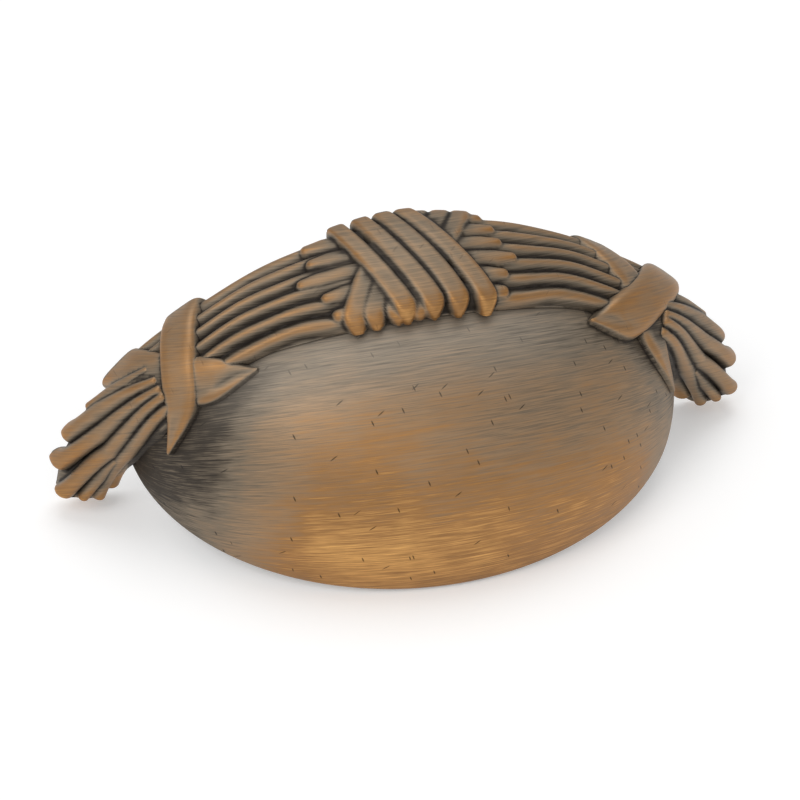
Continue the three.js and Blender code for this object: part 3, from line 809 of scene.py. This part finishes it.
def maths(tree, operation, *values, clamp=False):
    """One sum, as a Math node. Gives its result."""
    inputs = dict(enumerate(values))
    return add(tree, "ShaderNodeMath", inputs, operation=operation, use_clamp=clamp).outputs[0]


def centred(tree, value, amount):
    """A noise from 0 to 1, moved to lie on both sides of 0: amount times (value - 0.5)."""
    return maths(tree, "MULTIPLY_ADD", value, amount, -amount / 2)


def new_group(name, inputs, outputs):
    """A node group with named sockets: (name, kind, value) for inputs and names for outputs."""
    tree = bpy.data.node_groups.new(name, "ShaderNodeTree")
    for label, kind, value in inputs:
        socket = tree.interface.new_socket(label, in_out="INPUT", socket_type=kind)
        if value is not None:
            socket.default_value = value
    for label in outputs:
        tree.interface.new_socket(label, in_out="OUTPUT", socket_type="NodeSocketFloat")
    start = tree.nodes.new("NodeGroupInput")
    end = tree.nodes.new("NodeGroupOutput")
    return tree, start.outputs, end.inputs


def use(tree, group, inputs):
    """Places a group in a tree."""
    return add(tree, "ShaderNodeGroup", inputs, node_tree=group).outputs


def stretched(tree, vector, x, y, z):
    """A vector whose three parts are each multiplied by a factor of their own."""
    factors = add(tree, "ShaderNodeCombineXYZ", {"X": x, "Y": y, "Z": z}).outputs[0]
    both = {0: vector, 1: factors}
    return add(tree, "ShaderNodeVectorMath", both, operation="MULTIPLY").outputs[0]


# %% Brush lines
FINE_FACTOR, BRUSH_DEPTH = 2.2, 0.3
LINE_NOISE = {"Scale": 1.0, "Detail": 3.0, "Roughness": 0.6}


def brush_lines_group():
    """Noise that is stretched along the brush: fine across it, long along it, in two sizes."""
    sockets = [
        ("Brush", "NodeSocketVector", None),
        ("Across", "NodeSocketFloat", 3.0),
        ("Along", "NodeSocketFloat", 0.1),
    ]
    tree, given, result = new_group("brush_lines", sockets, ["Lines", "Fine lines"])
    for name, factor in (("Lines", 1.0), ("Fine lines", FINE_FACTOR)):
        across = maths(tree, "MULTIPLY", given["Across"], factor)
        along = maths(tree, "MULTIPLY", given["Along"], factor)
        place = stretched(tree, given["Brush"], along, across, BRUSH_DEPTH)
        noise = add(tree, "ShaderNodeTexNoise", {"Vector": place, **LINE_NOISE})
        tree.links.new(noise.outputs["Fac"], result[name])
    return tree


# %% Nicks and grain
NICK_SPACING, NICK_SHARPNESS = 4.0, 2.0
GRAIN_NOISE = {"Grain": {"Scale": 5200.0, "Detail": 2.0}, "Mottle": {"Scale": 160.0, "Detail": 3.0}}


def nicks_group():
    """Short thin marks, turned by an angle: flat cells of random points, stretched to the length
    and width of a mark, of which only the core is kept, and only in the rare cells."""
    sockets = [
        ("Place", "NodeSocketVector", None),
        ("Turn", "NodeSocketFloat", 0.0),
        ("Length", "NodeSocketFloat", 0.7),
        ("Width", "NodeSocketFloat", 0.12),
        ("Rarity", "NodeSocketFloat", 0.96),
    ]
    tree, given, result = new_group("nicks", sockets, ["Nicks"])
    turn = {"Vector": given["Place"], "Angle": given["Turn"]}
    turned = add(tree, "ShaderNodeVectorRotate", turn, rotation_type="Z_AXIS").outputs[0]
    along = maths(tree, "DIVIDE", 1 / NICK_SPACING, given["Length"])
    across = maths(tree, "DIVIDE", 1 / NICK_SPACING, given["Width"])
    flat = {"Vector": stretched(tree, turned, along, across, 0.0), "Scale": 1.0}
    cells = add(tree, "ShaderNodeTexVoronoi", flat, feature="F1", voronoi_dimensions="2D")
    off = maths(tree, "MULTIPLY", cells.outputs["Distance"], NICK_SPACING)
    close = maths(tree, "SUBTRACT", 1.0, off, clamp=True)
    close = maths(tree, "MULTIPLY", close, NICK_SHARPNESS, clamp=True)
    chance = add(tree, "ShaderNodeSeparateColor", {0: cells.outputs["Color"]})
    kept = maths(tree, "GREATER_THAN", chance.outputs[0], given["Rarity"])
    tree.links.new(maths(tree, "MULTIPLY", close, kept), result["Nicks"])
    return tree


def grain_group():
    """The skin of the casting: fine even noise over a slower one. Place is in metres."""
    sockets = [("Place", "NodeSocketVector", None)]
    tree, given, result = new_group("casting_grain", sockets, ["Grain", "Mottle"])
    for name, setting in GRAIN_NOISE.items():
        noise = add(tree, "ShaderNodeTexNoise", {"Vector": given["Place"], **setting})
        tree.links.new(noise.outputs["Fac"], result[name])
    return tree


BRUSH_LINES, NICKS, GRAIN = brush_lines_group(), nicks_group(), grain_group()

# %% [markdown]
# Colours are written as they would be picked from a picture, from 0 to 255, and turned into the
# linear light that the renderer works in.

# %% Colours of the finish


def colour(red, green, blue):
    """Linear light from picture values: ((value / 255 + 0.055) / 1.055) to the power 2.4."""
    picked = np.array([red, green, blue]) / 255
    linear = np.where(picked > 0.04045, ((picked + 0.055) / 1.055) ** 2.4, picked / 12.92)
    return (*linear.tolist(), 1.0)


FINISH = [
    (0.0, colour(56, 48, 39)),
    (0.22, colour(126, 113, 96)),
    (0.48, colour(155, 128, 99)),
    (0.72, colour(162, 119, 73)),
    (1.0, colour(208, 160, 98)),
]
# dark patina for the grooves and nicks, also used for the painted shade along the lip
GROOVE_AND_LIP_SHADE_BLACK = colour(34, 27, 21)
# the colour of the painted sheen, a pale grey reflection
PAINTED_SHEEN = colour(172, 162, 148)

# %% [markdown]
# The antique finish: the black stays where the brush did not reach, in streaks at the border, and
# the copper under it shines through. Bare copper is smoother than the black. Each number below
# says how strongly one of the masks shows in one of the values.

# %% Antique bronze
BACK_FACING, UNBRUSHED = 0.97, 0.08
LINE_SCALES = {"Across": 2.4, "Along": 0.08}
STEEP_NICKS = {"Turn": 1.3, "Length": 0.55, "Width": 0.13, "Rarity": 0.976}
SLANT_NICKS = {"Turn": -0.6, "Length": 0.75, "Width": 0.11, "Rarity": 0.985}
STREAKS, FINE_STREAKS, MOTTLE, STREAKED, STREAKED_CUP = 0.5, 0.7, 0.3, 0.4, 0.35
GROOVE_AND_LIP_SHADE_DARK, NICK_DARK, NICK_DARK_CUP, LINE_SHADE, SHEEN_SHARE = 0.85, 0.15, 0.6, 0.9, 0.4
METAL_BLACK, METAL_RUBBED = 0.45, 0.5
ROUGH_BLACK, ROUGH_RUBBED, ROUGH_LINES = 0.52, -0.16, 0.12
GRAIN_HEIGHT, NICK_HEIGHT, BUMP_STRENGTH, BUMP_DISTANCE = 0.7, -1.5, 0.5, 0.00003


def measured(tree, name, output="Fac"):
    """A measurement that was kept on the mesh."""
    return add(tree, "ShaderNodeAttribute", attribute_name=name).outputs[output]


def blend(tree, share, first, second):
    """A colour between two: the share of the second in it goes from 0 to 1."""
    node = add(tree, "ShaderNodeMix", {0: share, 6: first, 7: second}, data_type="RGBA")
    return node.outputs[2]


def antique_bronze():
    """Colour, metal and roughness follow one mask: rubbed_and_highlight = rub_and_highlight, plus
    streaks, plus mottle. The mask holds painted highlights on the cup along with the brushing.
    """
    material = bpy.data.materials.new("antique_bronze")
    material.use_nodes = True
    tree = material.node_tree
    shader = tree.nodes["Principled BSDF"]
    coordinates = add(tree, "ShaderNodeTexCoord")
    place = coordinates.outputs["Object"]
    facing = add(tree, "ShaderNodeSeparateXYZ", {0: coordinates.outputs["Normal"]}).outputs["Y"]
    cup = measured(tree, "cup")
    bare = maths(tree, "GREATER_THAN", facing, BACK_FACING)
    bare = maths(tree, "MAXIMUM", measured(tree, "hidden"), bare)
    reached = maths(tree, "SUBTRACT", 1.0, bare, clamp=True)
    along_brush = measured(tree, "brush", "Vector")
    lines = use(tree, BRUSH_LINES, {"Brush": along_brush, **LINE_SCALES})
    skin = use(tree, GRAIN, {"Place": place})
    steep = use(tree, NICKS, {"Place": along_brush, **STEEP_NICKS})
    slant = use(tree, NICKS, {"Place": along_brush, **SLANT_NICKS})
    nicks = maths(tree, "MAXIMUM", steep["Nicks"], slant["Nicks"])

    amount = maths(tree, "MULTIPLY_ADD", cup, STREAKED_CUP, STREAKED)
    streaks = maths(tree, "MULTIPLY", centred(tree, lines["Lines"], STREAKS), amount)
    fine = maths(tree, "MULTIPLY", centred(tree, lines["Fine lines"], FINE_STREAKS), amount)
    # the rub mask holds the brushing and the painted highlights on the cup
    brushed_and_highlight = maths(tree, "ADD", measured(tree, "rub_and_highlight"), streaks)
    brushed_and_highlight = maths(tree, "MULTIPLY", maths(tree, "ADD", brushed_and_highlight, fine), reached)
    mottled = centred(tree, skin["Mottle"], MOTTLE)
    plating = maths(tree, "MULTIPLY_ADD", bare, UNBRUSHED, mottled)
    rubbed_and_highlight = maths(tree, "ADD", brushed_and_highlight, plating, clamp=True)
    ramp = add(tree, "ShaderNodeValToRGB", {"Fac": rubbed_and_highlight})
    ramp.color_ramp.elements[0].color = FINISH[0][1]
    ramp.color_ramp.elements[1].color = FINISH[-1][1]
    for position, tone in FINISH[1:-1]:
        ramp.color_ramp.elements.new(position).color = tone

    # the groove mask darkens the grooves with patina and also paints shade along the lip
    groove_and_lip_shade_dark = maths(tree, "MULTIPLY", reached, GROOVE_AND_LIP_SHADE_DARK)
    groove_and_lip_shade_dark = maths(tree, "MULTIPLY", measured(tree, "groove_and_lip_shade"), groove_and_lip_shade_dark)
    nick_dark = maths(tree, "MULTIPLY_ADD", cup, NICK_DARK_CUP, NICK_DARK)
    nick_dark = maths(tree, "MULTIPLY", nicks, nick_dark)
    dark = maths(tree, "MAXIMUM", groove_and_lip_shade_dark, nick_dark)
    toned = blend(tree, dark, ramp.outputs["Color"], GROOVE_AND_LIP_SHADE_BLACK)
    # the painted sheen, a pale grey reflection, is mixed into the colour here
    painted_sheen = maths(tree, "MULTIPLY", measured(tree, "painted_sheen"), SHEEN_SHARE)
    toned = blend(tree, painted_sheen, toned, PAINTED_SHEEN)
    shade = centred(tree, lines["Fine lines"], 1.0)
    line_shade = maths(tree, "MULTIPLY", reached, LINE_SHADE)
    shade = maths(tree, "MULTIPLY_ADD", shade, line_shade, 1.0)
    toned = add(tree, "ShaderNodeHueSaturation", {"Color": toned, "Value": shade})
    tree.links.new(toned.outputs["Color"], shader.inputs["Base Color"])

    metallic = maths(tree, "MULTIPLY_ADD", rubbed_and_highlight, METAL_RUBBED, METAL_BLACK)
    tree.links.new(metallic, shader.inputs["Metallic"])
    rough = maths(tree, "MULTIPLY_ADD", rubbed_and_highlight, ROUGH_RUBBED, ROUGH_BLACK)
    rough = maths(tree, "MULTIPLY_ADD", lines["Fine lines"], ROUGH_LINES, rough)
    tree.links.new(rough, shader.inputs["Roughness"])

    height = maths(tree, "MULTIPLY", skin["Grain"], GRAIN_HEIGHT)
    height = maths(tree, "ADD", lines["Fine lines"], height)
    height = maths(tree, "MULTIPLY_ADD", nicks, NICK_HEIGHT, height)
    relief = {"Height": height, "Strength": BUMP_STRENGTH, "Distance": BUMP_DISTANCE}
    bump = add(tree, "ShaderNodeBump", relief)
    tree.links.new(bump.outputs["Normal"], shader.inputs["Normal"])
    return material


casting.data.materials.clear()
casting.data.materials.append(antique_bronze())
print("materials:", [material.name for material in casting.data.materials])

# %% [markdown]
# The set is a table top that reaches past the picture's edges, under a pale sky and three soft
# boxes. The light from all of them together lets a colour come out about as it is written.

# %% Table top
TABLE_HALF, PAPER_TONE, PAPER_ROUGHNESS, PAPER_SPECULAR, PAPER_LIFT = 1.5, 0.86, 0.9, 0.1, 0.24


def table_top():
    """A pale square, 3 m wide, at the height of the pull's feet."""
    corners = [(x * TABLE_HALF, y * TABLE_HALF, 0) for x, y in ((-1, -1), (1, -1), (1, 1), (-1, 1))]
    mesh = bpy.data.meshes.new("table_top")
    mesh.from_pydata(corners, [], [(0, 1, 2, 3)])
    top = bpy.data.objects.new("table_top", mesh)
    bpy.context.scene.collection.objects.link(top)
    top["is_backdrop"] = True
    return top


def paper_white():
    """White paper. What the camera, the metal and glass see of it is lifted a little, so that it
    comes out white where nothing shades it."""
    material = bpy.data.materials.new("paper_white")
    material.use_nodes = True
    tree = material.node_tree
    shader = tree.nodes["Principled BSDF"]
    shader.inputs["Base Color"].default_value = (PAPER_TONE, PAPER_TONE, PAPER_TONE, 1)
    shader.inputs["Roughness"].default_value = PAPER_ROUGHNESS
    shader.inputs["Specular IOR Level"].default_value = PAPER_SPECULAR
    rays = add(tree, "ShaderNodeLightPath").outputs
    seen = maths(tree, "MAXIMUM", rays["Is Glossy Ray"], rays["Is Transmission Ray"])
    seen = maths(tree, "MAXIMUM", rays["Is Camera Ray"], seen)
    shader.inputs["Emission Color"].default_value = (1, 1, 1, 1)
    tree.links.new(maths(tree, "MULTIPLY", seen, PAPER_LIFT), shader.inputs["Emission Strength"])
    return material


top = table_top()
top.data.materials.append(paper_white())

# %% Soft boxes and sky
# name, place and size in metres, power in watts
SOFT_BOXES = [
    ("key_light", (-0.75, -0.45, 1.0), 0.7, 4.2),
    ("front_light", (-0.1, -1.2, 0.7), 0.8, 1.7),
    ("top_light", (0.1, 0.35, 1.1), 0.7, 3.2),
]
LIT_PLACE, SKY_STRENGTH = (0, 0, 0.01), 0.55


def soft_box(name, place, size, watts):
    """A square lamp that looks at the pull."""
    lamp = bpy.data.lights.new(name, "AREA")
    lamp.shape = "SQUARE"
    lamp.size = size
    lamp.energy = watts
    holder = bpy.data.objects.new(name, lamp)
    holder.location = place
    look = Vector(LIT_PLACE) - Vector(place)
    holder.rotation_euler = look.to_track_quat("-Z", "Y").to_euler()
    bpy.context.scene.collection.objects.link(holder)
    return holder


for box in SOFT_BOXES:
    soft_box(*box)


def pale_sky(strength):
    """The same pale light from every direction."""
    world = bpy.context.scene.world or bpy.data.worlds.new("sky")
    bpy.context.scene.world = world
    world.use_nodes = True
    background = world.node_tree.nodes["Background"]
    background.inputs["Color"].default_value = (1, 1, 1, 1)
    background.inputs["Strength"].default_value = strength


pale_sky(SKY_STRENGTH)
bpy.context.scene.view_settings.view_transform = "Standard"

# %% [markdown]
# Last, the size of the finished pull is printed. The finished casting has to lie inside the
# solid model's box.

# %% Sizes and finish
VISUAL_BOUNDS = [list(corner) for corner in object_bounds()]
finished = [[round(value / MM, 2) for value in corner] for corner in VISUAL_BOUNDS]
print("finished pull, mm:", finished)
